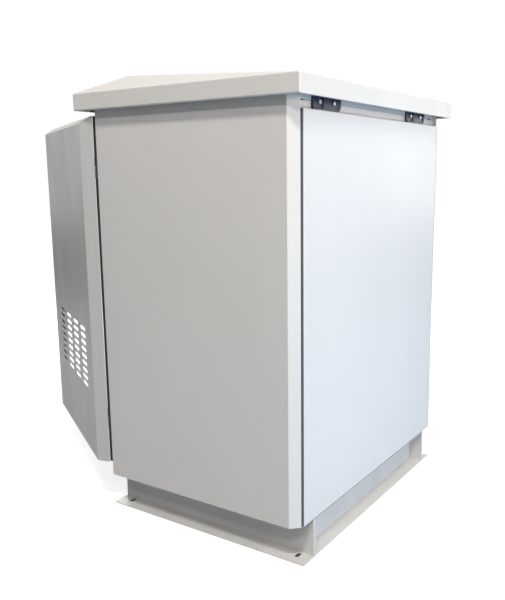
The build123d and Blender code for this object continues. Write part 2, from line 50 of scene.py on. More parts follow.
# node groups: each one is an effect that several finishes share
def newGroup(name, inputs, outputs):
    group = bpy.data.node_groups.new(name, "ShaderNodeTree")
    for label, kind, value in inputs:
        socket = group.interface.new_socket(name=label, in_out="INPUT", socket_type=kind)
        if value is not None:
            socket.default_value = value
    for label, kind in outputs:
        group.interface.new_socket(name=label, in_out="OUTPUT", socket_type=kind)
    return group, group.nodes.new("NodeGroupInput"), group.nodes.new("NodeGroupOutput")


def addNode(tree, kind, settings=None, values=None):
    node = tree.nodes.new(kind)
    for key, value in (settings or {}).items():
        setattr(node, key, value)
    for key, value in (values or {}).items():
        node.inputs[key].default_value = value
    return node


def noiseOn(tree, place, scale, detail, roughness=0.5):
    values = {"Scale": scale, "Detail": detail, "Roughness": roughness}
    noise = addNode(tree, "ShaderNodeTexNoise", None, values)
    tree.links.new(place, noise.inputs["Vector"])
    return noise.outputs["Fac"]


def mapTo(tree, value, fromLow, fromHigh, toLow, toHigh):
    ranger = addNode(tree, "ShaderNodeMapRange", {"clamp": True}, {
        "From Min": fromLow, "From Max": fromHigh, "To Min": toLow, "To Max": toHigh})
    tree.links.new(value, ranger.inputs["Value"])
    return ranger.outputs["Result"]


def mathOn(tree, operation, first, second):
    node = addNode(tree, "ShaderNodeMath", {"operation": operation})
    for index, value in enumerate((first, second)):
        if isinstance(value, (int, float)):
            node.inputs[index].default_value = value
        else:
            tree.links.new(value, node.inputs[index])
    return node.outputs[0]


def blendOn(tree, first, second, share):
    # the first value by its share and the second by the rest
    firstPart = mathOn(tree, "MULTIPLY", first, share)
    return mathOn(tree, "ADD", firstPart, mathOn(tree, "MULTIPLY", second, 1 - share))


def scaledPlace(tree, place, scale):
    mapping = addNode(tree, "ShaderNodeMapping", None, {"Scale": scale})
    tree.links.new(place, mapping.inputs["Vector"])
    return mapping.outputs["Vector"]


def shadeColour(tree, colour, factor):
    # multiplies a colour by a grey factor
    shade = addNode(tree, "ShaderNodeVectorMath", {"operation": "SCALE"})
    tree.links.new(colour, shade.inputs[0])
    tree.links.new(factor, shade.inputs["Scale"])
    return shade.outputs["Vector"]


def mixColour(tree, factor, first, second):
    mix = addNode(tree, "ShaderNodeMix", {"data_type": "RGBA"})
    tree.links.new(factor, mix.inputs["Factor"])
    for name, value in (("A", first), ("B", second)):
        socket = [s for s in mix.inputs if s.name == name and s.type == "RGBA"][0]
        if isinstance(value, tuple):
            socket.default_value = value
        else:
            tree.links.new(value, socket)
    return [s for s in mix.outputs if s.type == "RGBA"][0]


# powder coat: slow drift of tone, orange-peel height, uneven gloss, thin dust low down;
# a noise has its scale, its detail and, where that isn't 0.5, its roughness, and dustTop is in metres
coat = {
    "slowNoise": (1.9, 2.0), "streakNoise": (1.0, 3.0), "streakStretch": (7.0, 7.0, 0.8),
    "slowShare": 0.6, "toneFrom": (0.3, 0.7),
    "dustTop": 0.35, "patchNoise": (9.0, 5.0, 0.65), "patchFrom": (0.42, 0.72),
    "dustColour": (0.42, 0.39, 0.34, 1), "dustRoughness": 0.4,
    "smearNoise": (2.2, 4.0), "smearStretch": (3.0, 3.0, 1.4),
    "smearFrom": (0.3, 0.7), "smearTo": (-0.05, 0.06),
    "peelNoise": (330.0, 1.0), "grainNoise": (1100.0, 1.0), "peelShare": 0.7}


def makeCoatGroup():
    group, source, out = newGroup("powderCoatSurface", [
        ("place", "NodeSocketVector", None), ("paint", "NodeSocketColor", (0.7, 0.7, 0.7, 1)),
        ("drift", "NodeSocketFloat", 0.03), ("gloss", "NodeSocketFloat", 0.4),
        ("dust", "NodeSocketFloat", 0.1)], [
        ("colour", "NodeSocketColor"), ("roughness", "NodeSocketFloat"), ("height", "NodeSocketFloat")])
    place = source.outputs["place"]
    slow = noiseOn(group, place, *coat["slowNoise"])
    streaks = noiseOn(group, scaledPlace(group, place, coat["streakStretch"]), *coat["streakNoise"])
    lowSide = mathOn(group, "SUBTRACT", 1.0, source.outputs["drift"])
    toneLow, toneHigh = coat["toneFrom"]
    tone = addNode(group, "ShaderNodeMapRange", {"clamp": True}, {
        "From Min": toneLow, "From Max": toneHigh, "To Max": 1.0})
    group.links.new(blendOn(group, slow, streaks, coat["slowShare"]), tone.inputs["Value"])
    group.links.new(lowSide, tone.inputs["To Min"])
    toned = shadeColour(group, source.outputs["paint"], tone.outputs["Result"])
    axes = addNode(group, "ShaderNodeSeparateXYZ")
    group.links.new(place, axes.inputs[0])
    near = mapTo(group, axes.outputs["Z"], 0.0, coat["dustTop"], 1.0, 0.0)
    patches = mapTo(group, noiseOn(group, place, *coat["patchNoise"]), *coat["patchFrom"], 0.0, 1.0)
    dustMask = mathOn(group, "MULTIPLY", mathOn(group, "MULTIPLY", near, patches), source.outputs["dust"])
    group.links.new(mixColour(group, dustMask, toned, coat["dustColour"]), out.inputs["colour"])
    smearNoise = noiseOn(group, scaledPlace(group, place, coat["smearStretch"]), *coat["smearNoise"])
    smears = mapTo(group, smearNoise, *coat["smearFrom"], *coat["smearTo"])
    rough = mathOn(group, "ADD", mathOn(group, "ADD", source.outputs["gloss"], smears),
                   mathOn(group, "MULTIPLY", dustMask, coat["dustRoughness"]))
    group.links.new(rough, out.inputs["roughness"])
    peel = noiseOn(group, place, *coat["peelNoise"])
    grain = noiseOn(group, place, *coat["grainNoise"])
    group.links.new(blendOn(group, peel, grain, coat["peelShare"]), out.inputs["height"])
    return group


# bare or plated metal: crystal tones, cloudy blotches and fine brushing
plating = {
    "cellScale": 55.0, "cloudNoise": (14.0, 4.0, 0.6), "cellShare": 0.5, "toneMiddle": 0.75,
    "brushNoise": (40.0, 2.0), "brushStretch": (1.0, 1.0, 60.0), "brushShare": 0.4,
    "roughFrom": (0.2, 0.8), "roughTo": (-0.07, 0.09)}


def makeMetalGroup():
    group, source, out = newGroup("metalSurface", [
        ("place", "NodeSocketVector", None), ("metal", "NodeSocketColor", (0.6, 0.6, 0.6, 1)),
        ("spangle", "NodeSocketFloat", 0.1), ("gloss", "NodeSocketFloat", 0.35)], [
        ("colour", "NodeSocketColor"), ("roughness", "NodeSocketFloat"), ("height", "NodeSocketFloat")])
    place = source.outputs["place"]
    cells = addNode(group, "ShaderNodeTexVoronoi", {"feature": "F1"}, {
        "Scale": plating["cellScale"], "Randomness": 1.0})
    group.links.new(place, cells.inputs["Vector"])
    cellTone = addNode(group, "ShaderNodeSeparateColor")
    group.links.new(cells.outputs["Color"], cellTone.inputs[0])
    cloud = noiseOn(group, place, *plating["cloudNoise"])
    blend = blendOn(group, cellTone.outputs[0], cloud, plating["cellShare"])
    dark = mathOn(group, "MULTIPLY", mathOn(group, "SUBTRACT", plating["toneMiddle"], blend),
                  source.outputs["spangle"])
    toned = shadeColour(group, source.outputs["metal"], mathOn(group, "SUBTRACT", 1.0, dark))
    group.links.new(toned, out.inputs["colour"])
    brushed = noiseOn(group, scaledPlace(group, place, plating["brushStretch"]), *plating["brushNoise"])
    uneven = mapTo(group, blend, *plating["roughFrom"], *plating["roughTo"])
    group.links.new(mathOn(group, "ADD", source.outputs["gloss"], uneven), out.inputs["roughness"])
    group.links.new(blendOn(group, brushed, cloud, plating["brushShare"]), out.inputs["height"])
    return group


# plastic and rubber: fine grain, a faint bloom
moulding = {
    "cloudNoise": (26.0, 5.0, 0.6), "cloudFrom": (0.4, 0.75), "grainDetail": 2.0,
    "bloomColour": (0.3, 0.31, 0.33, 1), "roughTo": (-0.04, 0.1)}


def makeMouldedGroup():
    group, source, out = newGroup("mouldedSurface", [
        ("place", "NodeSocketVector", None), ("base", "NodeSocketColor", (0.03, 0.03, 0.03, 1)),
        ("bloom", "NodeSocketFloat", 0.1), ("gloss", "NodeSocketFloat", 0.5),
        ("grain", "NodeSocketFloat", 600.0)], [
        ("colour", "NodeSocketColor"), ("roughness", "NodeSocketFloat"), ("height", "NodeSocketFloat")])
    place = source.outputs["place"]
    cloud = mapTo(group, noiseOn(group, place, *moulding["cloudNoise"]), *moulding["cloudFrom"], 0.0, 1.0)
    bloom = mathOn(group, "MULTIPLY", cloud, source.outputs["bloom"])
    bloomed = mixColour(group, bloom, source.outputs["base"], moulding["bloomColour"])
    group.links.new(bloomed, out.inputs["colour"])
    uneven = mapTo(group, cloud, 0.0, 1.0, *moulding["roughTo"])
    group.links.new(mathOn(group, "ADD", source.outputs["gloss"], uneven), out.inputs["roughness"])
    grain = addNode(group, "ShaderNodeTexNoise", None, {"Detail": moulding["grainDetail"]})
    group.links.new(place, grain.inputs["Vector"])
    group.links.new(source.outputs["grain"], grain.inputs["Scale"])
    group.links.new(grain.outputs["Fac"], out.inputs["height"])
    return group


coatGroup = makeCoatGroup()
metalGroup = makeMetalGroup()
mouldedGroup = makeMouldedGroup()

# one look per finish; bumpDistance is the full height in millimetres of the pattern that a bump weakens
bumpDistance = 0.4
finishes = {
    "shell_grey": {
        "group": coatGroup, "colour": (0.640, 0.625, 0.600),
        "drift": 0.035, "gloss": 0.40, "dust": 0.10, "bump": 0.10},
    # the door paint is darker than shell_grey: this paints the shade on the leaves' outer faces into their
    # colour
    "door_grey": {
        "group": coatGroup, "colour": (0.525, 0.514, 0.496),
        "drift": 0.035, "gloss": 0.36, "dust": 0.08, "bump": 0.10},
    "roof_grey": {
        "group": coatGroup, "colour": (0.650, 0.634, 0.604),
        "drift": 0.035, "gloss": 0.42, "dust": 0.0, "bump": 0.10},
    "panel_white": {
        "group": coatGroup, "colour": (0.655, 0.650, 0.640),
        "drift": 0.025, "gloss": 0.40, "dust": 0.08, "bump": 0.10},
    "plinth_grey": {
        "group": coatGroup, "colour": (0.620, 0.608, 0.585),
        "drift": 0.06, "gloss": 0.44, "dust": 0.25, "bump": 0.12},
    "zinc_plate": {
        "group": metalGroup, "colour": (0.62, 0.64, 0.66),
        "spangle": 0.35, "gloss": 0.38, "metallic": 1.0, "bump": 0.05},
    "fastener_steel": {
        "group": metalGroup, "colour": (0.75, 0.76, 0.78),
        "spangle": 0.15, "gloss": 0.28, "metallic": 1.0, "bump": 0.05},
    "lock_chrome": {
        "group": metalGroup, "colour": (0.68, 0.69, 0.70),
        "spangle": 0.08, "gloss": 0.26, "metallic": 1.0, "bump": 0.04},
    "earth_brass": {
        "group": metalGroup, "colour": (0.72, 0.52, 0.24),
        "spangle": 0.30, "gloss": 0.33, "metallic": 1.0, "bump": 0.06},
    "hinge_black": {
        "group": coatGroup, "colour": (0.022, 0.022, 0.025),
        "drift": 0.10, "gloss": 0.36, "dust": 0.02, "bump": 0.10},
    "seal_black": {
        "group": mouldedGroup, "colour": (0.018, 0.018, 0.020),
        "bloom": 0.05, "gloss": 0.62, "grain": 900.0, "bump": 0.15},
    # the rear panel's lips: dark bluish slate that paints the shade in the joint beside the panel
    "painted_shade_slate": {
        "group": mouldedGroup, "colour": (0.085, 0.105, 0.130),
        "bloom": 0.06, "gloss": 0.55, "grain": 900.0, "bump": 0.12},
    # the navy tint paints the cool shade under the roof into the clamps' black
    "clamp_black": {
        "group": mouldedGroup, "colour": (0.016, 0.022, 0.050),
        "bloom": 0.04, "gloss": 0.40, "grain": 700.0, "bump": 0.10},
    "insulator": {
        "group": mouldedGroup, "colour": (0.32, 0.045, 0.03),
        "bloom": 0.03, "gloss": 0.42, "grain": 500.0, "bump": 0.08}}


def makeFinish(name, look):
    material = bpy.data.materials.new(name)
    material.use_nodes = True
    tree = material.node_tree
    shader = tree.nodes["Principled BSDF"]
    shader.inputs["Metallic"].default_value = look.get("metallic", 0.0)
    place = addNode(tree, "ShaderNodeTexCoord").outputs["Object"]
    effect = addNode(tree, "ShaderNodeGroup", {"node_tree": look["group"]})
    tree.links.new(place, effect.inputs["place"])
    for key in ("paint", "metal", "base"):
        if key in effect.inputs:
            effect.inputs[key].default_value = (*look["colour"], 1)
    for key in ("drift", "gloss", "dust", "spangle", "bloom", "grain"):
        if key in effect.inputs and key in look:
            effect.inputs[key].default_value = look[key]
    tree.links.new(effect.outputs["colour"], shader.inputs["Base Color"])
    tree.links.new(effect.outputs["roughness"], shader.inputs["Roughness"])
    bump = addNode(tree, "ShaderNodeBump", None, {"Strength": look["bump"], "Distance": bumpDistance * mm})
    tree.links.new(effect.outputs["height"], bump.inputs["Height"])
    tree.links.new(bump.outputs["Normal"], shader.inputs["Normal"])
    return material


materials = {name: makeFinish(name, look) for name, look in finishes.items()}
print("finishes ready:", len(materials))

# the CAD mesh's loose triangles are joined: millimetres and degrees
joining = {"weld": 0.02, "sliver": 0.01, "flat": 0.6}


def joinFlats(bm):
    bmesh.ops.dissolve_limit(bm, angle_limit=radians(joining["flat"]), verts=bm.verts, edges=bm.edges,
                             use_dissolve_boundaries=False)


def weldedForm(node):
    source = frame["nodes"][node]
    bm = bmesh.new()
    bm.from_mesh(source.data)
    bmesh.ops.remove_doubles(bm, verts=bm.verts, dist=joining["weld"] * mm)
    bmesh.ops.dissolve_degenerate(bm, dist=joining["sliver"] * mm, edges=bm.edges)
    bmesh.ops.recalc_face_normals(bm, faces=bm.faces)
    joinFlats(bm)
    return bm


# leaves: an inner face has some of the leaf this many millimetres in front of it; the rest are cosines
# between two faces' normals, or between a normal and the upright
leafSkin = {"inFront": 0.05, "samePlane": 0.999, "upright": 0.01, "likeFront": 0.99, "sameSide": 0.9}


def isInner(face, bm):
    reach = max((v.co - face.verts[0].co).dot(face.normal) for v in bm.verts)
    return reach > leafSkin["inFront"] * mm


def offsetStep(vert):
    # the step that puts a point one unit behind each of the planes that meet in it
    planes = []
    for face in vert.link_faces:
        if all(face.normal.dot(plane) < leafSkin["samePlane"] for plane in planes):
            planes.append(face.normal.copy())
    if len(planes) == 1:
        return planes[0]
    if len(planes) == 2:
        return (planes[0] + planes[1]) / (1 + planes[0].dot(planes[1]))
    return Matrix(planes[:3]).inverted() @ Vector((1, 1, 1))


def evenSkin(bm, sheet):
    # a leaf keeps its outer faces only, its side strips are made whole, and it gets one thickness all over
    bmesh.ops.delete(bm, geom=[f for f in bm.faces if isInner(f, bm)], context="FACES")
    front = max(bm.faces, key=lambda f: f.calc_area()).normal.copy()
    slits = [e for e in bm.edges if e.is_boundary and abs(e.link_faces[0].normal.z) < leafSkin["upright"]
             and abs(e.link_faces[0].normal.dot(front)) < leafSkin["likeFront"]]
    sides = [e.link_faces[0].normal.copy() for e in slits]
    for face in bmesh.ops.holes_fill(bm, edges=slits, sides=0)["faces"]:
        face.normal_update()
        if max(face.normal.dot(side) for side in sides) < leafSkin["sameSide"]:
            face.normal_flip()
    joinFlats(bm)
    rims = [(e.link_loops[0].vert, e.link_loops[0].link_loop_next.vert) for e in bm.edges if e.is_boundary]
    shifted = {vert: bm.verts.new(vert.co - sheet * offsetStep(vert)) for vert in list(bm.verts)}
    for face in list(bm.faces):
        bm.faces.new([shifted[v] for v in reversed(face.verts)])
    for first, second in rims:
        bm.faces.new([second, first, shifted[first], shifted[second]])
    bm.normal_update()


# rounds: an edge beside one is room times as long as the rounds that end on it, unless it goes straight on
# with a cosine below straightOn; the small round goes on welded edges sharper than corner, in degrees
rounding = {"room": 1.05, "straightOn": -0.64, "weld": 0.08, "sliver": 0.02, "corner": 38}


def roundEdges(bm, edges, width, segments, clamp=True):
    if edges:
        bmesh.ops.bevel(bm, geom=list(edges), offset=width, offset_type="OFFSET", affect="EDGES",
                        segments=segments, profile=0.5, material=-1, clamp_overlap=clamp)


def hasRoom(edge, widths):
    # an edge can be rounded where the edges beside it are longer than the rounds that end on them
    for vert in edge.verts:
        along = (edge.other_vert(vert).co - vert.co).normalized()
        for other in vert.link_edges:
            ahead = (other.other_vert(vert).co - vert.co).normalized()
            if other is edge or (other in widths and along.dot(ahead) < rounding["straightOn"]):
                continue
            if other.calc_length() < rounding["room"] * (widths[edge] + widths.get(other, 0)):
                return False
    return True


def keepRoomy(widths):
    tight = list(widths)
    while tight:
        tight = [e for e in widths if not hasRoom(e, widths)]
        for edge in tight:
            del widths[edge]
    return widths


# folds: angles in degrees, hemRadius and touch in millimetres, shortest and reach in sheet thicknesses
folding = {
    "foldFrom": 12, "hemFrom": 100, "hemTo": 150, "hemRadius": 0.8,
    "shortest": 3, "reach": 1.3, "touch": 0.05, "segments": 4}


def isFold(edge, surface, sheet):
    # at a fold both faces go on for more than the sheet's thickness, at a cut edge one of them doesn't
    for loop in edge.link_loops:
        along = (loop.link_loop_next.vert.co - loop.vert.co).normalized()
        middle = (loop.vert.co + loop.link_loop_next.vert.co) / 2
        further = middle + folding["reach"] * sheet * loop.face.normal.cross(along)
        if surface.find_nearest(further, folding["touch"] * mm)[0] is None:
            return False
    return True


def foldWidths(bm, sheet, inside, outer):
    # the bevel width that gives each fold its bend radius
    surface = BVHTree.FromBMesh(bm)
    widths = {}
    for edge in bm.edges:
        short = edge.calc_length() < folding["shortest"] * sheet
        if len(edge.link_faces) != 2 or short or not isFold(edge, surface, sheet):
            continue
        angle = edge.calc_face_angle_signed()
        if radians(folding["foldFrom"]) < abs(angle) < radians(folding["hemFrom"]):
            widths[edge] = (outer if angle > 0 else inside) * tan(abs(angle) / 2)
        elif radians(folding["hemFrom"]) <= angle < radians(folding["hemTo"]):
            widths[edge] = folding["hemRadius"] * mm * tan(angle / 2)
    return keepRoomy(widths)


def bendFolds(bm, sheet, inside, outer):
    # all folds are rounded in one pass, each to its own bend radius, so that folds that meet share one corner
    layer = bm.edges.layers.float.new("bevel_weight_edge")
    widths = foldWidths(bm, sheet, inside, outer)
    if not widths:
        return
    widest = max(widths.values())
    for edge, width in widths.items():
        edge[layer] = width / widest
    flat = bpy.data.meshes.new("unbent")
    bm.to_mesh(flat)
    holder = bpy.data.objects.new("unbent", flat)
    bpy.context.scene.collection.objects.link(holder)
    bends = holder.modifiers.new("bends", "BEVEL")
    bends.limit_method, bends.offset_type, bends.affect = "WEIGHT", "OFFSET", "EDGES"
    bends.width, bends.segments, bends.profile = widest, folding["segments"], 0.5
    bends.material, bends.use_clamp_overlap = -1, False
    bm.clear()
    bm.from_mesh(holder.evaluated_get(bpy.context.evaluated_depsgraph_get()).to_mesh())
    bm.edges.layers.float.remove(bm.edges.layers.float["bevel_weight_edge"])
    bpy.data.objects.remove(holder)
    bpy.data.meshes.remove(flat)


def softenEdges(bm, width, segments=2):
    bmesh.ops.remove_doubles(bm, verts=bm.verts, dist=rounding["weld"] * mm)
    bmesh.ops.dissolve_degenerate(bm, dist=rounding["sliver"] * mm, edges=bm.edges)
    corner = radians(rounding["corner"])
    sharp = [e for e in bm.edges if len(e.link_faces) == 2 and abs(e.calc_face_angle()) > corner]
    roundEdges(bm, keepRoomy({e: width for e in sharp}), width, segments, clamp=False)


# shading: slivers in millimetres are dropped, edges sharper than corner in degrees stay sharp, and weight
# says how much more the large faces count
shading = {"sliver": 0.005, "corner": 40, "weight": 80}


def smoothObject(bm, name, material):
    for face in bm.faces:
        face.smooth = True
    mesh = bpy.data.meshes.new(name)
    bm.to_mesh(mesh)
    bm.free()
    mesh.set_sharp_from_angle(angle=radians(shading["corner"]))
    mesh.materials.append(material)
    piece = bpy.data.objects.new(name, mesh)
    bpy.context.scene.collection.objects.link(piece)
    return piece


def finishPiece(bm, node, kind):
    # named after its node, such as RearPanelSheet for rear_panel
    bmesh.ops.dissolve_degenerate(bm, dist=shading["sliver"] * mm, edges=bm.edges)
    name = node.replace("_", " ").title().replace(" ", "") + kind
    piece = smoothObject(bm, name, materials[slotOf[node]])
    normals = piece.modifiers.new("evenNormals", "WEIGHTED_NORMAL")
    normals.keep_sharp = True
    normals.weight = shading["weight"]
    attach(piece, bodyOf[node])
    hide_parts(node)
    return piece


# folded pieces: sheet thickness, bend radius inside and outside and cut-edge round, in millimetres; where no
# outside radius is given, it is the inside one and the sheet's thickness
foldedPieces = {
    "plinth_beam_right": {"sheet": 3.0, "inside": 1.0, "outer": 2.2, "cut": 0.4},
    "plinth_beam_left": {"sheet": 3.0, "inside": 1.0, "outer": 2.2, "cut": 0.4},
    "plinth_cross_rear": {"sheet": 3.0, "inside": 2.6, "cut": 0.5},
    "plinth_cross_front": {"sheet": 3.0, "inside": 2.6, "cut": 0.5},
    "side_panel_right": {"sheet": 2.0, "inside": 1.2, "cut": 0.35},
    "side_panel_left": {"sheet": 2.0, "inside": 1.2, "cut": 0.35},
    "base_tray": {"sheet": 2.0, "inside": 1.2, "cut": 0.35},
    "front_sill": {"sheet": 2.0, "inside": 1.5, "cut": 0.35},
    "front_top_rail": {"sheet": 2.0, "inside": 1.5, "cut": 0.35},
    "centre_post": {"sheet": 2.0, "inside": 1.5, "cut": 0.35},
    "centre_post_strip": {"sheet": 2.0, "inside": 1.5, "cut": 0.4},
    "top_plate": {"sheet": 1.4, "inside": 0.8, "cut": 0.3},
    "rear_top_rail": {"sheet": 2.0, "inside": 1.5, "cut": 0.35},
    "rear_sill": {"sheet": 2.0, "inside": 1.5, "cut": 0.35},
    "rear_panel": {"sheet": 2.0, "inside": 1.6, "cut": 0.35},
    "roof_canopy": {"sheet": 2.0, "inside": 2.0, "cut": 0.35},
    "roof_bearer_front": {"sheet": 2.0, "inside": 1.5, "cut": 0.3},
    "roof_bearer_rear": {"sheet": 2.0, "inside": 1.5, "cut": 0.3},
    "side_door_skin": {"sheet": 2.0, "inside": 1.8, "cut": 0.35, "even": True},
    "main_door_stiffener": {"sheet": 2.0, "inside": 1.5, "cut": 0.3},
    "side_door_stiffener": {"sheet": 2.0, "inside": 1.5, "cut": 0.3},
    "rack_upright_front_right": {"sheet": 2.0, "inside": 1.5, "cut": 0.25},
    "rack_upright_front_left": {"sheet": 2.0, "inside": 1.5, "cut": 0.25},
    "rack_upright_rear_right": {"sheet": 2.0, "inside": 1.5, "cut": 0.25},
    "rack_upright_rear_left": {"sheet": 2.0, "inside": 1.5, "cut": 0.25}}


def foldSheet(bm, sizes):
    inside = sizes["inside"] * mm
    outer = sizes.get("outer", sizes["inside"] + sizes["sheet"]) * mm
    bendFolds(bm, sizes["sheet"] * mm, inside, outer)
    softenEdges(bm, sizes["cut"] * mm)


for node, sizes in foldedPieces.items():
    bm = weldedForm(node)
    if sizes.get("even"):
        evenSkin(bm, sizes["sheet"] * mm)
    foldSheet(bm, sizes)
    finishPiece(bm, node, "Sheet")
print("folded sheets ready:", len(foldedPieces))

# solid pieces: edge round in millimetres and its segments
solidPieces = {
    "gland_plate": (0.5, 2), "gland_plate_screws": (0.6, 2), "side_bay_plate": (0.5, 2),
    "rear_panel_seal": (1.2, 3), "main_door_seal": (0.5, 2), "side_door_seal": (0.5, 2),
    "rear_clamp_right": (0.9, 3), "rear_clamp_left": (0.9, 3), "clamp_screws": (0.6, 3),
    "roof_bolts": (0.5, 2), "main_hinge_frame_halves": (0.3, 2), "side_hinge_frame_halves": (0.3, 2),
    "main_hinge_door_halves": (0.3, 2), "side_hinge_door_halves": (0.3, 2),
    "main_hinge_pins": (0.3, 2), "side_hinge_pins": (0.3, 2),
    "earth_bar": (0.4, 2), "earth_bar_feet": (0.8, 2),
    "main_bolt_guides": (0.5, 2), "main_bolt_upper": (1.0, 3), "main_bolt_lower": (1.0, 3),
    "side_lock_bush": (0.5, 2), "side_lock": (0.4, 2)}

# doorway seals: what lies nearer to the ring's top or foot than corner is no cut end; millimetres
doorwaySeals = {"pieces": ("main_door_seal", "side_door_seal"), "corner": 30.0, "reach": 1.8}


def reachHinges(bm, corner, reach):
    # the seal's cut ends go up to the hinges, so that no light shows beside them
    low, high = min(v.co.z for v in bm.verts), max(v.co.z for v in bm.verts)
    ends = [v for v in bm.verts if low + corner < v.co.z < high - corner]
    for upper in (False, True):
        own = [v for v in ends if (v.co.z > (low + high) / 2) == upper]
        centre = sum(v.co.z for v in own) / len(own)
        for v in own:
            v.co.z += reach if v.co.z < centre else -reach
    bm.normal_update()


for node, (width, segments) in solidPieces.items():
    bm = weldedForm(node)
    if node in doorwaySeals["pieces"]:
        reachHinges(bm, doorwaySeals["corner"] * mm, doorwaySeals["reach"] * mm)
    softenEdges(bm, width * mm, segments)
    finishPiece(bm, node, "Form")
print("solid pieces ready:", len(solidPieces))

# wide leaf: the vent slots' ends are rounded from flats to an even curve, then the sheet is folded;
# slotTurn is the range of the angle between two flats in degrees, flatShare how much of a flat a round takes,
# flatWidth the widest flat in sheet thicknesses, and tolerance is in millimetres
ventedLeaf = {
    "sheet": 2.0, "inside": 1.8, "cut": 0.35,
    "slotTurn": (20, 40), "flatShare": 0.48, "flatWidth": 1.5, "endSegments": 3, "tolerance": 0.2}


def faceWidth(face):
    return 2 * face.calc_area() / face.calc_perimeter()


def isSlotCorner(edge, sizes):
    # it runs through the sheet, between two narrow flats of a slot's end
    if len(edge.link_faces) != 2:
        return False
    low, high = (radians(turn) for turn in sizes["slotTurn"])
    through = abs(edge.calc_length() - sizes["sheet"] * mm) < sizes["tolerance"] * mm
    narrow = max(faceWidth(f) for f in edge.link_faces) < sizes["flatWidth"] * sizes["sheet"] * mm
    return low < abs(edge.calc_face_angle()) < high and through and narrow


def makeVentedLeaf(node, sizes):
    bm = weldedForm(node)
    evenSkin(bm, sizes["sheet"] * mm)
    ends = [e for e in bm.edges if isSlotCorner(e, sizes)]
    flat = min(e.calc_length() for f in ends[0].link_faces for e in f.edges)
    roundEdges(bm, ends, flat * sizes["flatShare"], sizes["endSegments"])
    foldSheet(bm, sizes)
    print("vent slot corners rounded:", len(ends))
    return finishPiece(bm, node, "Sheet")


makeVentedLeaf("main_door_skin", ventedLeaf)

# dark rubber beads on the rear side: a black bead along the seam under the top plate's lap paints the seam's
# shade line, and where it gapes beside the bevels it paints the shaded gaps there; a slate lip down each
# upright edge of the lift-off panel paints the shade in its joint; lengths in millimetres, the gape's
# measured inwards from a line that lies seamPastRail beyond the rail's end
beads = {
    "sides": 12, "seamHalf": 0.45, "seamProud": 0.35, "seamPastRail": 42,
    "gapeHalf": 1.5, "gapeNear": 12.0, "gapeFar": 46.0, "gapeEnd": 4.0,
    "lipHalf": 1.9, "lipDepth": 6.0, "lipBelowFace": 0.8, "lipEnd": 3.0}


def makeBead(name, finish, places, turn, rings):
    # rings run along the bead, each with its centre and its half sizes, and the turn says which way it runs
    bm = bmesh.new()
    loops = []
    for centre, (wide, high) in zip(places, rings):
        spot = Matrix.Translation(centre) @ turn @ Matrix.Diagonal((wide, high, 1, 1))
        isEnd = centre in (places[0], places[-1])
        ring = bmesh.ops.create_circle(bm, cap_ends=isEnd, radius=1, segments=beads["sides"], matrix=spot)
        loops.append(list(dict.fromkeys(edge for vert in ring["verts"] for edge in vert.link_edges)))
    for first, second in zip(loops, loops[1:]):
        bmesh.ops.bridge_loops(bm, edges=first + second)
    bmesh.ops.recalc_face_normals(bm, faces=bm.faces)
    bead = smoothObject(bm, name, materials[finish])
    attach(bead, "cabinet")
    return bead


def nodeBox(node):
    spots = [v.co for v in frame["nodes"][node].data.vertices]
    return [Vector(pick(spot[axis] for spot in spots) for axis in range(3)) for pick in (min, max)]


def makeSeam(sizes):
    railHigh = nodeBox("rear_top_rail")[1]
    lapFoot = nodeBox("top_plate")[0].z
    proud = sizes["seamProud"] * mm
    thin = (proud, sizes["seamHalf"] * mm)
    wide = (proud, sizes["gapeHalf"] * mm)
    near, far, taper = sizes["gapeNear"], sizes["gapeFar"], sizes["gapeEnd"]
    # the bead widens near each end to paint the shaded gaps beside the bevels
    stops = [(taper, thin), (near, wide), (far - taper, wide), (far, thin)]
    ends = [(railHigh.x + (sizes["seamPastRail"] - stop) * mm, size) for stop, size in stops]
    spots = ends + [(-x, size) for x, size in reversed(ends)]
    places = [Vector((x, railHigh.y + proud, lapFoot - size[1])) for x, size in spots]
    alongRail = Matrix(((0, 0, 1), (1, 0, 0), (0, 1, 0))).to_4x4()
    makeBead("RailSeamShadeBead", "seal_black", places, alongRail, [size for x, size in spots])


# a slate lip down each upright edge of the rear panel, which paints the joint's shade
def makePanelLips(sizes):
    low, high = nodeBox("rear_panel")
    half = (sizes["lipHalf"] * mm, sizes["lipDepth"] * mm)
    y = high.y - (sizes["lipBelowFace"] + sizes["lipDepth"]) * mm
    foot, top = low.z + sizes["lipEnd"] * mm, high.z - sizes["lipEnd"] * mm
    for side, word in ((1, "Right"), (-1, "Left")):
        x = side * (high.x + sizes["lipHalf"] * mm)
        places = [Vector((x, y, foot)), Vector((x, y, top))]
        makeBead("RearPanelLip" + word, "painted_shade_slate", places, Matrix.Identity(4), [half, half])


makeSeam(beads)
makePanelLips(beads)
print("rear beads ready")

# floor: from near to far, in metres from the middle, the glow goes from glowNear to glowFar, and what gloss
# mirrors of it goes from one inGloss to the other over glossReach; under is half the length and depth of the
# painted-shade patch below the plinth, darkened by paintedShadeTone so that the anchor slots show shade, and
# drop is in millimetres
floorLook = {
    "size": 30.0, "drop": 0.3, "colour": (0.37, 0.40, 0.44), "roughness": 0.9,
    "cloudNoise": (1.5, 3.0), "cloudFrom": (0.3, 0.7), "cloudTo": (0.985, 1.0),
    "glowNear": 0.70, "glowFar": 1.0, "near": 1.2, "far": 2.6,
    "under": (0.46, 0.36), "paintedShadeTone": 0.12, "inGloss": (0.42, 0.04), "glossReach": (2.0, 6.0)}
bm = bmesh.new()
bmesh.ops.create_grid(bm, x_segments=1, y_segments=1, size=floorLook["size"] / 2)
floorMesh = bpy.data.meshes.new("studioFloor")
bm.to_mesh(floorMesh)
bm.free()
studioFloor = bpy.data.objects.new("studioFloor", floorMesh)
studioFloor.location.z = -floorLook["drop"] * mm
bpy.context.scene.collection.objects.link(studioFloor)


def insideOf(tree, value, limit):
    return mathOn(tree, "LESS_THAN", mathOn(tree, "ABSOLUTE", value, 0.0), limit)


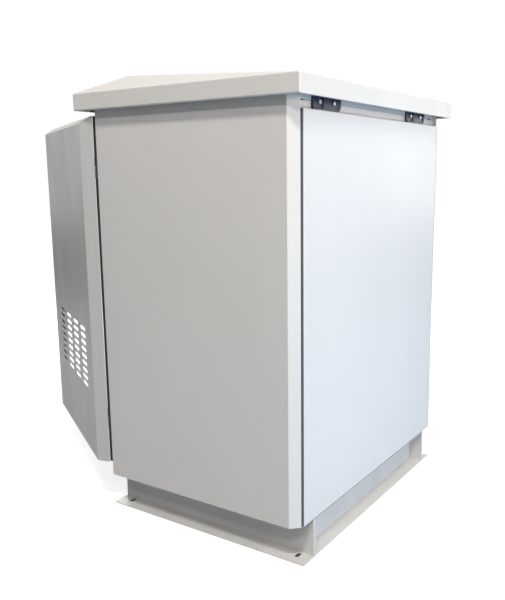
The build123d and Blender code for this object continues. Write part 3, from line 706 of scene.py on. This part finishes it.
def makeFloorFinish(look):
    material = bpy.data.materials.new("studioFloorPaint")
    material.use_nodes = True
    tree = material.node_tree
    shader = tree.nodes["Principled BSDF"]
    place = addNode(tree, "ShaderNodeTexCoord").outputs["Object"]
    axes = addNode(tree, "ShaderNodeSeparateXYZ")
    tree.links.new(place, axes.inputs[0])
    # painted shade: one below the plinth, where only the anchor slots show the floor, and zero outside; there
    # the floor is darkened and loses its glow
    halfLength, halfDepth = look["under"]
    under = mathOn(tree, "MULTIPLY", insideOf(tree, axes.outputs["X"], halfLength),
                   insideOf(tree, axes.outputs["Y"], halfDepth))
    cloud = mapTo(tree, noiseOn(tree, place, *look["cloudNoise"]), *look["cloudFrom"], *look["cloudTo"])
    # painted shade: the floor's colour drops to paintedShadeTone below the plinth
    tone = mathOn(tree, "MULTIPLY", cloud, mapTo(tree, under, 0.0, 1.0, 1.0, look["paintedShadeTone"]))
    paint = addNode(tree, "ShaderNodeRGB")
    paint.outputs[0].default_value = (*look["colour"], 1)
    tree.links.new(shadeColour(tree, paint.outputs[0], tone), shader.inputs["Base Color"])
    shader.inputs["Roughness"].default_value = look["roughness"]
    rays = addNode(tree, "ShaderNodeLightPath")
    reach = addNode(tree, "ShaderNodeVectorMath", {"operation": "LENGTH"})
    tree.links.new(place, reach.inputs[0])
    mirrored = mapTo(tree, reach.outputs["Value"], *look["glossReach"], *look["inGloss"])
    inGloss = mathOn(tree, "MULTIPLY", rays.outputs["Is Glossy Ray"], mirrored)
    seen = mathOn(tree, "MAXIMUM", rays.outputs["Is Camera Ray"], mathOn(
        tree, "MAXIMUM", inGloss, rays.outputs["Is Transmission Ray"]))
    glow = mapTo(tree, reach.outputs["Value"], look["near"], look["far"], look["glowNear"], look["glowFar"])
    # the glow is cut off below the plinth, so that the painted shade stays dark
    clear = mathOn(tree, "SUBTRACT", 1.0, under)
    shader.inputs["Emission Color"].default_value = (1, 1, 1, 1)
    strength = mathOn(tree, "MULTIPLY", mathOn(tree, "MULTIPLY", seen, glow), clear)
    tree.links.new(strength, shader.inputs["Emission Strength"])
    return material


floorMesh.materials.append(makeFloorFinish(floorLook))

# world: white where the camera or a reflection sees it, dimmer and cooler as light
worldLook = {"light": (0.72, 0.92, 1.32), "strength": 0.05}
world = bpy.data.worlds.new("studioWorld")
bpy.context.scene.world = world
world.use_nodes = True
tree = world.node_tree
tree.nodes.clear()
rays = addNode(tree, "ShaderNodeLightPath")
seen = mathOn(tree, "MAXIMUM", rays.outputs["Is Camera Ray"], mathOn(
    tree, "MAXIMUM", rays.outputs["Is Glossy Ray"], rays.outputs["Is Transmission Ray"]))
ambient = addNode(tree, "ShaderNodeBackground", None, {
    "Color": (*worldLook["light"], 1), "Strength": worldLook["strength"]})
backdrop = addNode(tree, "ShaderNodeBackground", None, {"Color": (1, 1, 1, 1), "Strength": 1.0})
pick = addNode(tree, "ShaderNodeMixShader")
worldOut = addNode(tree, "ShaderNodeOutputWorld")
tree.links.new(seen, pick.inputs[0])
tree.links.new(ambient.outputs[0], pick.inputs[1])
tree.links.new(backdrop.outputs[0], pick.inputs[2])
tree.links.new(pick.outputs[0], worldOut.inputs["Surface"])

# lamps: two long boxes over the hinge side and one above, a warm and a cool one behind the rear panel,
# and weak ones at the left and the front; azimuth 0 is the front, 90 the hinge side
lamps = {
    "sideBoxLow": {
        "azimuth": 122, "elevation": 35.6, "distance": 6.5, "aim": (0, 0, 0.7),
        "width": 1.7, "height": 0.24, "watts": 116, "colour": (1.0, 0.965, 0.92)},
    "sideBoxHigh": {
        "azimuth": 122, "elevation": 52.4, "distance": 8.0, "aim": (0, 0, 0.7),
        "width": 2.0, "height": 0.28, "watts": 390, "colour": (1.0, 0.965, 0.92)},
    "topBox": {
        "azimuth": 122, "elevation": 86, "distance": 4.0, "aim": (0, 0, 0.7),
        "width": 1.6, "height": 1.6, "watts": 27, "colour": (1.0, 0.965, 0.90)},
    "rearBoxHigh": {
        "azimuth": 169, "elevation": 14, "distance": 2.0, "aim": (0, 0.37, 1.0),
        "width": 1.8, "height": 0.7, "watts": 24, "colour": (1.0, 0.91, 0.79)},
    "rearBoxLow": {
        "azimuth": 176, "elevation": -4, "distance": 2.25, "aim": (0, 0.37, 0.5),
        "width": 1.8, "height": 0.5, "watts": 27, "colour": (0.42, 0.66, 1.0)},
    "leftBox": {
        "azimuth": 255, "elevation": 10, "distance": 3.6, "aim": (0, 0, 0.7),
        "width": 2.0, "height": 1.2, "watts": 16, "colour": (1.0, 0.97, 0.92)},
    "frontBox": {
        "azimuth": 311, "elevation": 14, "distance": 3.8, "aim": (0, -0.3, 0.7),
        "width": 2.0, "height": 1.2, "watts": 78, "colour": (1.0, 0.98, 0.96)}}


def outwardFrom(azimuth, elevation):
    return Vector((sin(azimuth) * cos(elevation), -cos(azimuth) * cos(elevation), sin(elevation)))


for name, look in lamps.items():
    data = bpy.data.lights.new(name, "AREA")
    data.shape = "RECTANGLE"
    data.size = look["width"]
    data.size_y = look["height"]
    data.energy = look["watts"]
    data.color = look["colour"]
    lamp = bpy.data.objects.new(name, data)
    aim = Vector(look["aim"])
    lamp.location = aim + look["distance"] * outwardFrom(radians(look["azimuth"]), radians(look["elevation"]))
    lamp.rotation_euler = (aim - lamp.location).to_track_quat("-Z", "Y").to_euler()
    bpy.context.scene.collection.objects.link(lamp)

# camera at the photograph's view: degrees, metres, and lens and sensor in millimetres
cameraLook = {
    "azimuth": 123.531, "elevation": 10.171, "roll": -0.570, "place": (2.0392, 1.3121, 1.0927),
    "lens": 42.257, "sensor": 36, "shift": (-0.03235, 0.0005), "clipStart": 0.05}
around, up, roll = (radians(cameraLook[key]) for key in ("azimuth", "elevation", "roll"))
back = outwardFrom(around, up)
right = (-back).cross(Vector((0, 0, 1))).normalized()
above = right.cross(-back)
rolledRight = cos(roll) * right + sin(roll) * above
rolledAbove = cos(roll) * above - sin(roll) * right
cameraData = bpy.data.cameras.new("photoCamera")
cameraData.lens = cameraLook["lens"]
cameraData.sensor_width = cameraLook["sensor"]
cameraData.shift_x, cameraData.shift_y = cameraLook["shift"]
cameraData.clip_start = cameraLook["clipStart"]
camera = bpy.data.objects.new("photoCamera", cameraData)
camera.matrix_world = Matrix((rolledRight, rolledAbove, back)).transposed().to_4x4()
camera.location = cameraLook["place"]
bpy.context.scene.collection.objects.link(camera)
bpy.context.scene.camera = camera
bpy.context.scene.view_settings.view_transform = "Standard"
print("stage, lamps and camera ready")
